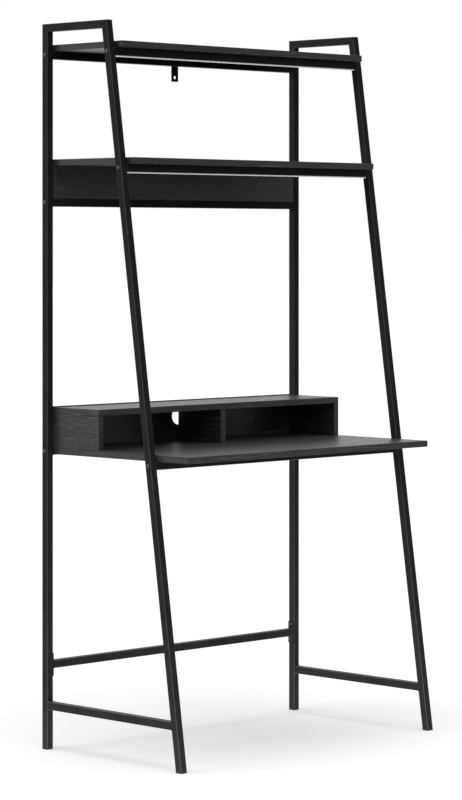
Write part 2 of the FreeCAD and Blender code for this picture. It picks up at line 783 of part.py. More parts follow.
def cam_lock():
    """Cam disc with a bore from its rim for the bolt's head and a driver slot across its face."""
    body = bar("cam_lock", HEAD_FLAT_COUNT, dims.cam_diameter, CAM_DEPTH)
    hole(body, (0, dims.cam_diameter, BOARD / 2), dims.cam_diameter, CAM_BOLT_BORE, TO_FRONT)
    reach = dims.cam_slot_length / 2
    half = dims.cam_slot_width / 2
    slot = new_sketch(body, "XY_Plane")
    cut(body, rectangle(slot, (-reach, -half), (reach, half)), dims.cam_slot_width * 2)
    return body


def rail_ends(distance):
    """A place at each end of every rail that is bolted to the posts, pointing inwards."""
    bolts = FRONT_BOLTS + REAR_BOLTS
    return [((distance * side, *place), INWARD[side]) for side in PAIR for place in bolts]


def plate_places(distance):
    """A place at each screw of the stretcher's end plates, pointing outwards."""
    return [((distance * side, *place), OUTWARD[side]) for side in PAIR for place in PLATE_SCREWS]


def standing(places, height):
    """Points at one height, pointing up."""
    return [((*place, height), UP) for place in places]


def forward(places, depth):
    """Points at one depth, pointing to the front."""
    return [((across, depth, height), TO_FRONT) for across, height in places]


group("rail_bolts", bolt("rail_bolt", TUBE + dims.end_plug_length), rail_ends(SIDE))
group("rail_end_plugs", end_plug(), rail_ends(INNER))
plate_screw = bolt("plate_screw", dims.plate_thickness + WALL + dims.weld_nut_height)
group("stretcher_screws", plate_screw, plate_places(PLATE_FACE))
group("stretcher_weld_nuts", weld_nut(), plate_places(INNER + WALL))

HEAD_RISE = dims.screw_head_height
shelf_screw = screw("shelf_screw", WALL + BLIND_DEPTH)
panel_screw = screw("panel_screw", WALL + dims.screw_bite)
hutch_screw = screw("hutch_screw", BOARD - HEAD_RISE + dims.screw_bite)
edge_screw = screw("edge_screw", WALL + dims.edge_screw_bite)
back_screw = screw("back_screw", dims.hutch_back_thickness + dims.back_screw_bite)
top_shelf_places = standing(TOP_FRONT_SCREWS + TOP_REAR_SCREWS, screw_seat(TOP_RAIL_AXIS))
group("top_shelf_screws", shelf_screw, top_shelf_places)
group("middle_shelf_screws", shelf_screw, standing(MIDDLE_SCREWS, screw_seat(MIDDLE_FRONT_AXIS)))
group("desk_screws", shelf_screw, standing(DESK_SCREWS, screw_seat(DESK_FRONT_AXIS)))
group("middle_panel_screws", panel_screw, standing(PANEL_SCREWS, screw_seat(MIDDLE_REAR_AXIS)))
group("hutch_base_screws", hutch_screw, standing(HUTCH_DOWELS, DESK_LOW + HEAD_RISE))
group("hutch_back_screws", back_screw, forward(BACK_SCREWS, HUTCH_BACK_REAR))
group("desk_edge_screws", edge_screw, forward(DESK_EDGE_SCREWS, REAR_FACE + WALL))

dowel = bar("dowel", SHANK_FLAT_COUNT, dims.dowel_diameter, dims.dowel_bite + BLIND_DEPTH)
group("middle_panel_dowels", dowel, standing(PANEL_DOWELS, MIDDLE_LOW - dims.dowel_bite))
group("hutch_dowels", dowel, standing(HUTCH_DOWELS, HUTCH_LOW - dims.dowel_bite))
cam_bolt = bar("cam_bolt", SHANK_FLAT_COUNT, dims.cam_bolt_diameter, dims.cam_distance + BLIND_DEPTH)
group("hutch_cam_bolts", cam_bolt, standing(CAM_BOLTS, CAM_PLACE[1]))

# Each cam's slot faces into a bay, and the bore in its rim faces up, towards its bolt
CAM_TURNS = {
    side: FreeCAD.Rotation(FreeCAD.Vector(0, side, 0), FreeCAD.Vector(0, 0, 1), FreeCAD.Vector(side, 0, 0))
    for side in PAIR
}
cam_places = [((face, *CAM_PLACE), CAM_TURNS[side]) for face, side in (LEFT_CAM, MIDDLE_CAM, RIGHT_CAM)]
group("hutch_cam_locks", cam_lock(), cam_places)

# Every object has to be built and every sub-part sound before anything is written
doc.recompute()
for item in doc.Objects:
    if "Invalid" in item.State or "Error" in item.State:
        raise RuntimeError(f"{item.Label} could not be built")
for piece in subparts:
    if piece.Shape.isNull() or not piece.Shape.isValid() or not piece.Shape.Solids:
        raise RuntimeError(f"{piece.Label} is not a sound solid")

os.makedirs("parts", exist_ok=True)
for piece in subparts:
    piece.Shape.exportStep(f"parts/{piece.Label}.step")
    print(piece.Label, len(piece.Shape.Solids), "solids,", round(piece.Shape.Volume), "cubic mm")
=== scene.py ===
"""Ladder desk of black steel tube and black oak-grain board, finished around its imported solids.

Metres, +Z up, -Y to the front where the user sits, with the origin on the floor under the middle of the desk.
"""
import math

import bmesh
import bpy
from bpy.props import FloatProperty, FloatVectorProperty, PointerProperty
from mathutils import Matrix, Vector


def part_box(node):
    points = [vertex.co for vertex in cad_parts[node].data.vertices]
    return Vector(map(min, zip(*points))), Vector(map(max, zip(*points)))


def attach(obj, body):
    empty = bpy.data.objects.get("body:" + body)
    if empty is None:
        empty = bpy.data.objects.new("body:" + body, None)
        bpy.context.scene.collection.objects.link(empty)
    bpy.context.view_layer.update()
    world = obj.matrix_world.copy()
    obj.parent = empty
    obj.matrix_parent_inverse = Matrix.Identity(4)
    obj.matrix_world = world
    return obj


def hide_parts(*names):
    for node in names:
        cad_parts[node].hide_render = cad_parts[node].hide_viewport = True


bl_info = {
    "name": "Ladder desk",
    "version": (1, 0, 0),
    "blender": (4, 5, 0),
    "location": "View3D > Sidebar > Ladder desk",
    "description": "Finishes a ladder desk of steel tube and faced board and sets a plain stage",
    "category": "Object",
}

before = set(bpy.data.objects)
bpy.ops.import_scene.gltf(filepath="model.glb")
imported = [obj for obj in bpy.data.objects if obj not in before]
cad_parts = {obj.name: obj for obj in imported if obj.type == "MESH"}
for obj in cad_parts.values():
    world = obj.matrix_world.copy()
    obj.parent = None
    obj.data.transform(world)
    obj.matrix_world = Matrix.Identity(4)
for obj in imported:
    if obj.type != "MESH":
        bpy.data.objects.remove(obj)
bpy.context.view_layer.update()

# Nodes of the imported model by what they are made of
SIDES = ("left", "right")
FRAME_BARS = ("rear_post", "front_post", "top_rail", "foot_rail")
FRAME_TUBES = [f"{side}_{bar}" for side in SIDES for bar in FRAME_BARS]
BOLTED_RAILS = [
    "top_shelf_front_rail",
    "top_shelf_rear_rail",
    "middle_shelf_front_rail",
    "middle_shelf_rear_rail",
    "desk_front_rail",
    "desk_rear_rail",
]
WELDED_PIECES = ["rear_stretcher", "left_stretcher_plate", "right_stretcher_plate", "wall_tab"]
FEET = [f"{side}_{end}_foot" for side in SIDES for end in ("rear", "front")]
LONG_BOARDS = ["top_shelf", "middle_shelf", "middle_back_panel", "desk_top", "hutch_top", "hutch_back"]
UPRIGHTS = ["hutch_left_side", "hutch_divider", "hutch_right_side"]
RAIL_STRIPS = ["top_shelf_rail_strip", "middle_shelf_rail_strip"]
HIDDEN_STEEL = ["rail_end_plugs", "stretcher_weld_nuts"]
DOWELS = ["middle_panel_dowels", "hutch_dowels"]
CAM_PARTS = ["hutch_cam_bolts", "hutch_cam_locks"]

# Screws that go up into a board, and the pieces whose middle lines they are on
SCREWED_FROM_BELOW = {
    "top_shelf_screws": ("top_shelf_front_rail", "top_shelf_rear_rail"),
    "middle_shelf_screws": ("middle_shelf_front_rail",),
    "desk_screws": ("desk_front_rail",),
    "middle_panel_screws": ("middle_back_panel",),
}

# Corners round each ring of a turned piece, of a bolt's socket and of a screw's recess
RING = 24
SOCKET_CORNERS = 6
CROSS_CORNERS = 12

# Edges that turn by more than this stay sharp
SHARP_ANGLE = math.radians(32)
MILLIMETRE = 0.001

# Sockets of the Mix node, which has a set for each kind of data
FACTOR = 0
VECTOR_A, VECTOR_B, VECTOR_OUT = 4, 5, 1
COLOUR_A, COLOUR_B, COLOUR_OUT = 6, 7, 2

# Values that most of a noise lies between
NOISE_LOW = 0.3
NOISE_HIGH = 0.7

# How many times longer the grain is than it is wide
GRAIN_STRETCH = 30.0
WHITE = (1.0, 1.0, 1.0, 1.0)

# Spread in degrees of each soft lamp, and the way to it from the desk
LAMPS = {
    "overhead": (55.0, (-0.1, -0.04, 1.0)),
    "from_left": (60.0, (-1.0, 0.35, 0.12)),
    "from_front": (50.0, (-0.4, -1.0, 0.8)),
}

# Half the floor's width and how far the camera sees
FLOOR_REACH = 60.0
CAMERA_REACH = 200.0


def colour(label, text, default):
    """A colour that a user can change."""
    return FloatVectorProperty(name=label, description=text, subtype="COLOR", default=default, min=0, max=1)


def length(label, text, default):
    """A length that a user can change."""
    settings = {"subtype": "DISTANCE", "unit": "LENGTH", "min": 0}
    return FloatProperty(name=label, description=text, default=default, **settings)


def amount(label, text, default):
    """A plain number that a user can change."""
    return FloatProperty(name=label, description=text, default=default)


class LadderDeskFinish(bpy.types.PropertyGroup):
    """Colours and textures of the desk's surfaces."""

    steel: colour("Steel coat", "Powder coat on the tubes", (0.027, 0.027, 0.0275))
    # Painted highlight: the corner colour makes the tubes' rounded corners paler, as a highlight would, rather
    # than showing wear.
    corner: colour("Painted corner highlight", "Painted highlight on the tubes' rounded corners", (0.13, 0.13, 0.132))
    board_dark: colour("Board ground", "Ground colour of the oak-grain facing", (0.032, 0.0325, 0.033))
    board_light: colour("Board fibres", "Paler fibres in the oak-grain facing", (0.16, 0.161, 0.162))
    foot: colour("Foot plastic", "Moulded feet and cover caps", (0.018, 0.018, 0.018))
    strip: colour("Strip plastic", "Milky plastic of the strips under the shelves", (0.92, 0.92, 0.92))
    # Painted glow: the strips are plain plastic and no lamps, and this emission brightens them in the shade
    # under the shelves.
    painted_strip_glow: amount("Painted strip glow", "Strength of the painted glow on the strips", 0.38)
    bolt: colour("Bolt plating", "Black zinc plate on the bolts", (0.06, 0.06, 0.062))
    zinc: colour("Bright zinc", "Zinc plate on the hidden screws", (0.5, 0.5, 0.51))
    beech: colour("Dowel wood", "Plain beech of the dowels", (0.55, 0.38, 0.22))
    fibre_width: length("Fibre width", "Usual width of a streak of grain", 0.0034)
    pore_width: length("Pore width", "Usual width of a pore in the grain", 0.0009)
    coat_peel: length("Coat texture", "Size of the fine bumps in the powder coat", 0.0011)


class LadderDeskHardware(bpy.types.PropertyGroup):
    """Sizes of the bolts, screws, welds and caps."""

    bolt_head: length("Bolt head", "Diameter of a button head", 0.011)
    bolt_rise: length("Bolt head height", "Height of a button head", 0.003)
    bolt_shank: length("Bolt shank", "Diameter of a bolt", 0.006)
    bolt_socket: length("Bolt socket", "Width across the socket's flats", 0.004)
    bolt_length: length("Bolt length", "Length of a rail bolt under its head", 0.032)
    plate_pitch: length("Plate screw pitch", "Distance between the two screws of an end plate", 0.04)
    plate_screw_length: length("Plate screw length", "Length of a plate screw under its head", 0.0082)
    screw_head: length("Screw head", "Diameter of a pan head", 0.008)
    screw_rise: length("Screw head height", "Height of a pan head", 0.0024)
    screw_shank: length("Screw shank", "Diameter of a board screw", 0.004)
    screw_spread: length("Screw spread", "Distance of a rail's screws from the desk's middle", 0.3)
    edge_spread: length("Edge screw spread", "Distance of the desk's rear edge screws from its middle", 0.2)
    upright_inset: length("Upright screw inset", "Distance of the hutch screws from the uprights' ends", 0.03)
    back_rise: length("Back screw height", "Height of the screws into the uprights' rear edges", 0.024)
    weld_width: length("Weld width", "Width of a weld bead", 0.0044)
    weld_pitch: length("Weld pitch", "Distance between the ripples of a weld", 0.0013)
    cap_diameter: length("Cam cap", "Diameter of the caps over the cam locks", 0.0175)
    cap_rise: length("Cam cap height", "Height of the caps over the cam locks", 0.001)
    cam_drop: length("Cam drop", "Distance of a cam lock under the hutch's top", 0.024)


class LadderDeskStage(bpy.types.PropertyGroup):
    """Camera, floor and light."""

    camera_place: FloatVectorProperty(
        name="Camera place",
        description="Where the camera stands",
        subtype="TRANSLATION",
        unit="LENGTH",
        default=(-5.4355, -5.4045, 1.279),
    )
    camera_turn: FloatProperty(
        name="Camera turn",
        description="Turn of the level camera about the upright axis",
        subtype="ANGLE",
        default=-0.7848,
    )
    camera_lens: amount("Lens", "Focal length in millimetres", 134.47)
    camera_shift: amount("Shift", "Upward shift of the level camera's frame", -0.199)
    floor: colour("Floor", "Colour of the floor as the camera sees it", (0.9, 0.9, 0.9))
    floor_bounce: amount("Floor bounce", "Strength of the light that the floor throws back", 1.5)
    pool_inner: length("Pool of light", "How far out the floor throws its full light back", 0.9)
    pool_outer: length("Edge of the pool", "How far out the floor throws no more light back", 1.2)
    floor_glow: amount("Floor glow", "White added to the lit floor", 0.39)
    sky: amount("Sky", "Strength of the even light from all round", 0.15)
    overhead: amount("Overhead light", "Strength of the soft light from above", 1.4)
    front_light: amount("Front light", "Strength of the soft light from the front", 0.36)
    side_light: amount("Side light", "Strength of the soft light from the left", 1.85)


# Shader nodes
def add(tree, kind, settings=None, inputs=None):
    """A node with its settings, and its sockets given as values or as the sockets that feed them."""
    made = tree.nodes.new(kind)
    for name, value in (settings or {}).items():
        setattr(made, name, value)
    for name, value in (inputs or {}).items():
        if isinstance(value, bpy.types.NodeSocket):
            tree.links.new(value, made.inputs[name])
        else:
            made.inputs[name].default_value = value
    return made


def opaque(shade):
    """A colour with full alpha."""
    return (*shade, 1.0)


def shaded(shade, share):
    """A colour made darker or paler, with full alpha."""
    return opaque([min(1.0, share * part) for part in shade])


def new_material(name, settings):
    """A material with a principled shader and the socket values that are the same all over."""
    material = bpy.data.materials.new(name)
    material.use_nodes = True
    tree = material.node_tree
    tree.nodes.clear()
    shader = add(tree, "ShaderNodeBsdfPrincipled", inputs=settings)
    output = add(tree, "ShaderNodeOutputMaterial")
    tree.links.new(shader.outputs["BSDF"], output.inputs["Surface"])
    return material, tree, shader


def noise(tree, vector, scale, detail=2.0, roughness=0.5, distortion=0.0):
    """The value of a noise texture."""
    inputs = {
        "Vector": vector,
        "Scale": scale,
        "Detail": detail,
        "Roughness": roughness,
        "Distortion": distortion,
    }
    return add(tree, "ShaderNodeTexNoise", inputs=inputs).outputs["Fac"]


def remap(tree, value, low, high, to_low=0.0, to_high=1.0):
    """A value stretched from one range to another and kept within it."""
    inputs = {"Value": value, "From Min": low, "From Max": high, "To Min": to_low, "To Max": to_high}
    return add(tree, "ShaderNodeMapRange", {"clamp": True}, inputs).outputs["Result"]


def math_of(tree, work, first, second):
    """Two values put together."""
    return add(tree, "ShaderNodeMath", {"operation": work}, {0: first, 1: second}).outputs["Value"]


def blend_colours(tree, factor, first, second):
    """A colour between two colours, each a value or a socket."""
    inputs = {FACTOR: factor, COLOUR_A: first, COLOUR_B: second}
    return add(tree, "ShaderNodeMix", {"data_type": "RGBA"}, inputs).outputs[COLOUR_OUT]


def bump(tree, height, strength, distance):
    """A normal that follows a height."""
    inputs = {"Height": height, "Strength": strength, "Distance": distance}
    return add(tree, "ShaderNodeBump", inputs=inputs).outputs["Normal"]


def place_of(tree):
    """Object coordinates."""
    return add(tree, "ShaderNodeTexCoord").outputs["Object"]


def stretched(tree, vector, scale):
    """Coordinates scaled along each axis."""
    return add(tree, "ShaderNodeMapping", inputs={"Vector": vector, "Scale": scale}).outputs["Vector"]


def facing_parts(tree):
    """How far a surface faces along each axis, whichever way round."""
    normal = add(tree, "ShaderNodeNewGeometry").outputs["Normal"]
    facing = add(tree, "ShaderNodeVectorMath", {"operation": "ABSOLUTE"}, {0: normal}).outputs["Vector"]
    return add(tree, "ShaderNodeSeparateXYZ", inputs={"Vector": facing}).outputs


def steel_material(finish):
    """Satin black powder coat with a fine peel, faint cloudy wear and a painted highlight on the rounded
    corners, where the surface faces diagonally.
    """
    cloud_scale = 9.0
    flat_face = 0.98
    rounded_face = 0.8
    material, tree, shader = new_material("black_powder_coat", {"Specular IOR Level": 0.025})
    place = place_of(tree)
    cloud = noise(tree, place, cloud_scale, detail=3.0)
    peel = noise(tree, place, 1.0 / finish.coat_peel, detail=1.0)
    wear = remap(tree, cloud, NOISE_LOW, NOISE_HIGH)
    flats = blend_colours(tree, wear, shaded(finish.steel, 0.8), shaded(finish.steel, 1.25))
    # Painted highlight: surfaces that face diagonally, on the tubes' rounded corners, take the pale corner
    # colour.
    across, deep, upright = facing_parts(tree)
    flatness = math_of(tree, "MAXIMUM", math_of(tree, "MAXIMUM", across, deep), upright)
    rounded = remap(tree, flatness, flat_face, rounded_face)
    shade = blend_colours(tree, rounded, flats, opaque(finish.corner))
    roughness = remap(tree, cloud, low=0.25, high=0.75, to_low=0.26, to_high=0.34)
    tree.links.new(shade, shader.inputs["Base Color"])
    tree.links.new(roughness, shader.inputs["Roughness"])
    tree.links.new(bump(tree, peel, strength=0.12, distance=0.1 * MILLIMETRE), shader.inputs["Normal"])
    return material


def grain_place(tree, along, ends):
    """Coordinates drawn out along the grain; on the faces that end the grain, along the edge band instead."""
    mostly = 0.7
    place = place_of(tree)
    scales = [[GRAIN_STRETCH if axis != way else 1.0 for axis in range(3)] for way in (along, ends)]
    along_grain, along_band = [stretched(tree, place, scale) for scale in scales]
    end_face = math_of(tree, "GREATER_THAN", facing_parts(tree)[along], mostly)
    inputs = {FACTOR: end_face, VECTOR_A: along_grain, VECTOR_B: along_band}
    return add(tree, "ShaderNodeMix", {"data_type": "VECTOR"}, inputs).outputs[VECTOR_OUT]


def board_material(name, finish, along, ends):
    """Black oak-grain melamine: dark ground, paler wavy fibres and short pale pores in faint relief."""
    figure_share = 0.2
    pore_paleness = 0.55
    material, tree, shader = new_material(name, {"Specular IOR Level": 0.2})
    grain = grain_place(tree, along, ends)
    fibre_scale = 1.0 / (GRAIN_STRETCH * finish.fibre_width)
    pore_scale = 1.0 / (GRAIN_STRETCH * finish.pore_width)
    figure = noise(tree, grain, figure_share * fibre_scale, distortion=0.8)
    fibre = noise(tree, grain, fibre_scale, detail=4.0, roughness=0.6, distortion=0.6)
    pore = noise(tree, grain, pore_scale)
    streak = remap(tree, fibre, low=0.52, high=0.68)
    dash = remap(tree, pore, low=0.58, high=0.68)
    patch = remap(tree, figure, low=0.4, high=0.66, to_low=0.08, to_high=1.0)
    fibres = math_of(tree, "MULTIPLY", streak, patch)
    pores = math_of(tree, "MULTIPLY", dash, pore_paleness)
    pale = math_of(tree, "MAXIMUM", fibres, pores)
    shade = blend_colours(tree, pale, opaque(finish.board_dark), opaque(finish.board_light))
    roughness = remap(tree, fibre, NOISE_LOW, NOISE_HIGH, to_low=0.31, to_high=0.43)
    tree.links.new(shade, shader.inputs["Base Color"])
    tree.links.new(roughness, shader.inputs["Roughness"])
    tree.links.new(bump(tree, dash, strength=0.25, distance=0.15 * MILLIMETRE), shader.inputs["Normal"])
    return material


def plastic_material(finish):
    """Moulded black plastic with a fine spark-eroded texture."""
    spark_scale = 2200.0
    cloud_scale = 40.0
    material, tree, shader = new_material("moulded_plastic", {"Specular IOR Level": 0.3})
    place = place_of(tree)
    spark = noise(tree, place, spark_scale, detail=1.0)
    cloud = noise(tree, place, cloud_scale)
    shade = blend_colours(tree, cloud, shaded(finish.foot, 0.8), opaque(finish.foot))
    roughness = remap(tree, spark, NOISE_LOW, NOISE_HIGH, to_low=0.5, to_high=0.62)
    tree.links.new(shade, shader.inputs["Base Color"])
    tree.links.new(roughness, shader.inputs["Roughness"])
    tree.links.new(bump(tree, spark, strength=0.2, distance=0.05 * MILLIMETRE), shader.inputs["Normal"])
    return material


def strip_material(finish):
    """Milky white plastic with a faint cloudiness and a painted glow, though the strips are no lamps."""
    cloud_scale = 60.0
    # The emission is a painted glow on plain strips that are no lamps.
    settings = {"Roughness": 0.5, "Emission Color": WHITE, "Emission Strength": finish.painted_strip_glow}
    material, tree, shader = new_material("milky_plastic", settings)
    cloud = noise(tree, place_of(tree), cloud_scale)
    shade = blend_colours(tree, cloud, shaded(finish.strip, 0.94), opaque(finish.strip))
    tree.links.new(shade, shader.inputs["Base Color"])
    return material


def plated_material(name, plating, smoothest, roughest):
    """Plated steel with fine marks and cloudy roughness."""
    cloud_scale = 350.0
    mark_scale = 3000.0
    material, tree, shader = new_material(name, {"Metallic": 1.0})
    place = place_of(tree)
    cloud = noise(tree, place, cloud_scale, detail=3.0)
    marks = noise(tree, place, mark_scale)
    shade = blend_colours(tree, cloud, opaque(plating), shaded(plating, 1.3))
    roughness = remap(tree, cloud, NOISE_LOW, NOISE_HIGH, smoothest, roughest)
    tree.links.new(shade, shader.inputs["Base Color"])
    tree.links.new(roughness, shader.inputs["Roughness"])
    tree.links.new(bump(tree, marks, strength=0.1, distance=0.02 * MILLIMETRE), shader.inputs["Normal"])
    return material


def beech_material(finish):
    """Plain beech with short flecks up and down the dowel."""
    fleck_scale = 1200.0
    upright_stretch = (1.0, 1.0, 0.1)
    material, tree, shader = new_material("plain_beech", {"Roughness": 0.6})
    place = stretched(tree, place_of(tree), upright_stretch)
    fleck = noise(tree, place, fleck_scale, detail=3.0)
    shade = blend_colours(tree, fleck, shaded(finish.beech, 0.7), opaque(finish.beech))
    tree.links.new(shade, shader.inputs["Base Color"])
    return material


def coat(names, material):
    """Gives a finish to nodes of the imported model."""
    for name in names:
        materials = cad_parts[name].data.materials
        materials.clear()
        materials.append(material)


# Turned pieces and their copies
def ring(bm, radius, height, corners=RING):
    """The edges of a ring about the upright axis; one with fewer corners gets points along its sides."""
    lift = Matrix.Translation((0, 0, height))
    made = bmesh.ops.create_circle(bm, segments=corners, radius=radius, matrix=lift)
    edges = {edge for vert in made["verts"] for edge in vert.link_edges}
    if corners < RING:
        split = bmesh.ops.subdivide_edges(bm, edges=list(edges), cuts=RING // corners - 1)
        edges = {item for item in split["geom"] if isinstance(item, bmesh.types.BMEdge)}
    return list(edges)


def cross_ring(bm, reach, height):
    """The edges of a cross outline about the upright axis, as a driver's recess has."""
    turn = math.pi / CROSS_CORNERS
    corner = reach / math.cos(turn)
    lift = Matrix.Translation((0, 0, height)) @ Matrix.Rotation(turn, 4, "Z")
    made = bmesh.ops.create_circle(bm, segments=CROSS_CORNERS, radius=corner, matrix=lift)
    inner = [vert for vert in made["verts"] if abs(abs(vert.co.x) - abs(vert.co.y)) < 0.1 * reach]
    pull = math.sqrt(2) * math.tan(turn) * math.cos(turn)
    bmesh.ops.scale(bm, verts=inner, vec=(pull, pull, 1.0))
    edges = list({edge for vert in made["verts"] for edge in vert.link_edges})
    split = bmesh.ops.subdivide_edges(bm, edges=edges, cuts=RING // CROSS_CORNERS - 1)
    return [item for item in split["geom"] if isinstance(item, bmesh.types.BMEdge)]


def stack(bm, rings):
    """Closes rings into one skin, with a flat at each end."""
    for lower, upper in zip(rings, rings[1:]):
        bmesh.ops.bridge_loops(bm, edges=lower + upper)
    for end in (rings[0], rings[-1]):
        bmesh.ops.edgeloop_fill(bm, edges=end)
    bmesh.ops.recalc_face_normals(bm, faces=bm.faces)


def to_mesh(bm, name, sharp_angle=SHARP_ANGLE):
    """A mesh from a bmesh, smooth apart from its sharp edges."""
    mesh = bpy.data.meshes.new(name)
    bm.to_mesh(mesh)
    bm.free()
    mesh.shade_smooth()
    mesh.set_sharp_from_angle(angle=sharp_angle)
    return mesh


def shank_rings(bm, radius, reach):
    """Rings of a plain shank with a broken tip."""
    tip = 0.2 * radius
    return [ring(bm, radius, 0), ring(bm, radius, reach - tip), ring(bm, radius - tip, reach)]


def bolt_mesh(hardware, reach):
    """Button-head bolt with a hexagon socket: its head under the XY plane and its shank up from it."""
    bm = bmesh.new()
    rise = hardware.bolt_rise
    radius = hardware.bolt_head / 2
    flat = 0.56 * radius
    corner = hardware.bolt_socket / math.sqrt(3)
    rings = [ring(bm, corner, height, SOCKET_CORNERS) for height in (-0.4 * rise, -rise)]
    rings.append(ring(bm, flat, -rise))
    for step in (0.35, 0.65, 0.85):
        width = flat + (radius - flat) * math.sin(step * math.pi / 2)
        rings.append(ring(bm, width, -rise * (1 - step * step)))
    rings.append(ring(bm, radius, -0.12 * rise))
    rings.append(ring(bm, radius, 0))
    stack(bm, rings + shank_rings(bm, hardware.bolt_shank / 2, reach))
    return to_mesh(bm, "bolt")


def screw_mesh(hardware, reach):
    """Pan-head screw with a cross recess: its head under the XY plane and its shank up from it."""
    bm = bmesh.new()
    rise = hardware.screw_rise
    radius = hardware.screw_head / 2
    recess_shape = [(0.3, -0.35), (0.5, -1.0)]
    head_shape = [(0.7, -1.0), (0.9, -0.8), (1.0, -0.45), (1.0, 0.0)]
    rings = [cross_ring(bm, radius * width, rise * height) for width, height in recess_shape]
    rings += [ring(bm, radius * width, rise * height) for width, height in head_shape]
    stack(bm, rings + shank_rings(bm, hardware.screw_shank / 2, reach))
    return to_mesh(bm, "screw")


def cap_mesh(hardware):
    """Low round cap with a soft edge, standing on the XY plane."""
    bm = bmesh.new()
    radius = hardware.cap_diameter / 2
    rise = hardware.cap_rise
    shape = [(1.0, 0.0), (1.0, 0.4), (0.97, 0.75), (0.9, 0.95), (0.5, 1.0)]
    stack(bm, [ring(bm, radius * width, rise * height) for width, height in shape])
    return to_mesh(bm, "cap")


def ripple_mesh(hardware):
    """One ripple of a weld bead, a low rounded scale across the seam along X."""
    bm = bmesh.new()
    radius = hardware.weld_width / 2
    squash = 0.55
    made = bmesh.ops.create_uvsphere(bm, u_segments=12, v_segments=6, radius=radius)
    bmesh.ops.scale(bm, verts=made["verts"], vec=(squash, 1.0, 1.0))
    return to_mesh(bm, "ripple", math.pi)


def add_piece(name, template, places, material, replaced=()):
    """A piece made of copies of a template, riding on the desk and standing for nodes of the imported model."""
    whole = bmesh.new()
    for place in places:
        copy = template.copy()
        copy.transform(place)
        whole.from_mesh(copy)
        bpy.data.meshes.remove(copy)
    bpy.data.meshes.remove(template)
    mesh = bpy.data.meshes.new(name)
    whole.to_mesh(mesh)
    whole.free()
    mesh.materials.append(material)
    piece = bpy.data.objects.new(name, mesh)
    bpy.context.scene.collection.objects.link(piece)
    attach(piece, "root")
    if replaced:
        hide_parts(*replaced)


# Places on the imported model
def middle(node):
    """The centre of a node's box."""
    low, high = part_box(node)
    return (low + high) / 2


def turned(point, direction):
    """A place at a point, with +Z turned to a direction."""
    turn = Vector((0, 0, 1)).rotation_difference(Vector(direction))
    return Matrix.Translation(point) @ turn.to_matrix().to_4x4()


def pointing_up(points):
    """Places at points, with +Z up."""
    return [Matrix.Translation(point) for point in points]


def rail_bolt_places():
    """Both ends of each bolted rail, on the outer faces of the posts, pointing inwards."""
    places = []
    for side in (-1, 1):
        low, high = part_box("left_rear_post" if side < 0 else "right_rear_post")
        face = low.x if side < 0 else high.x
        for rail in BOLTED_RAILS:
            centre = middle(rail)
            places.append(turned((face, centre.y, centre.z), (-side, 0, 0)))
    return places


def plate_screw_places(pitch):
    """The screws of the stretcher's end plates, on the plates' inner faces, pointing outwards."""
    places = []
    for side, node in ((-1, "left_stretcher_plate"), (1, "right_stretcher_plate")):
        low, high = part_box(node)
        face = high.x if side < 0 else low.x
        centre = middle(node)
        for way in (-1, 1):
            places.append(turned((face, centre.y, centre.z + way * pitch / 2), (side, 0, 0)))
    return places


def spread_pair(spread, other):
    """Two points across the desk with another measure, the same distance to each side of the middle."""
    return [(way * spread, other) for way in (-1, 1)]


def upright_points(inset):
    """Points of the screws under the hutch's uprights."""
    points = []
    for upright in UPRIGHTS:
        low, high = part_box(upright)
        points += [(middle(upright).x, depth) for depth in (low.y + inset, high.y - inset)]
    return points


def back_points(hardware):
    """Points of the screws through the hutch's back, into its uprights and its top."""
    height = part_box("desk_top")[1].z + hardware.back_rise
    points = [(middle(upright).x, height) for upright in UPRIGHTS]
    return points + spread_pair(hardware.screw_spread, middle("hutch_top").z)


def upward_screws(node, points, rise):
    """Places and length of a node's screws that point up, with their heads at its lower end."""
    low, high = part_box(node)
    seat = low.z + rise
    return pointing_up([(across, depth, seat) for across, depth in points]), high.z - seat


def forward_screws(node, points, rise):
    """Places and length of a node's screws that point forwards, with their heads at its rear end."""
    low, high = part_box(node)
    seat = high.y - rise
    return [turned((across, seat, height), (0, -1, 0)) for across, height in points], seat - low.y


def cap_places(drop):
    """Caps over the cam locks, on the faces that the locks are let into."""
    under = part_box("hutch_top")[0].z
    depth = middle("hutch_left_side").y
    faces = [
        (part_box("hutch_left_side")[1].x, 1),
        (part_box("hutch_divider")[1].x, 1),
        (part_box("hutch_right_side")[0].x, -1),
    ]
    return [turned((face, depth, under - drop), (way, 0, 0)) for face, way in faces]


def rake():
    """How far a front post leans back for each metre of height."""
    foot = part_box("left_front_post")[0]
    top_low, top_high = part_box("left_top_rail")
    return (top_low.y - foot.y) / (top_high.z - foot.z)


def weld_seams():
    """Seams with a visible bead, each as its two ends."""
    seams = []
    for side in SIDES:
        low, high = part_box(f"{side}_foot_rail")
        rise = rake() * (high.z - low.z)
        for depth, height in ((high.y, high.z), (high.y, low.z), (low.y + rise, high.z), (low.y, low.z)):
            seams.append((Vector((low.x, depth, height)), Vector((high.x, depth, height))))
        plate_low, plate_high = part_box(f"{side}_stretcher_plate")
        face = plate_high.x if side == "left" else plate_low.x
        low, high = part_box("rear_stretcher")
        for height in (low.z, high.z):
            seams.append((Vector((face, low.y, height)), Vector((face, high.y, height))))
    low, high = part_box("wall_tab")
    for depth in (low.y, high.y):
        seams.append((Vector((low.x, depth, high.z)), Vector((high.x, depth, high.z))))
    return seams


def ripple_places(pitch, width):
    """Ripples along every welded seam, inside its ends."""
    places = []
    for start, end in weld_seams():
        run = end - start
        inset = width / 2
        turn = Vector((1, 0, 0)).rotation_difference(run).to_matrix().to_4x4()
        count = int((run.length - width) / pitch)
        for step in range(count + 1):
            point = start + run.normalized() * (inset + step * (run.length - width) / count)
            places.append(Matrix.Translation(point) @ turn)
    return places


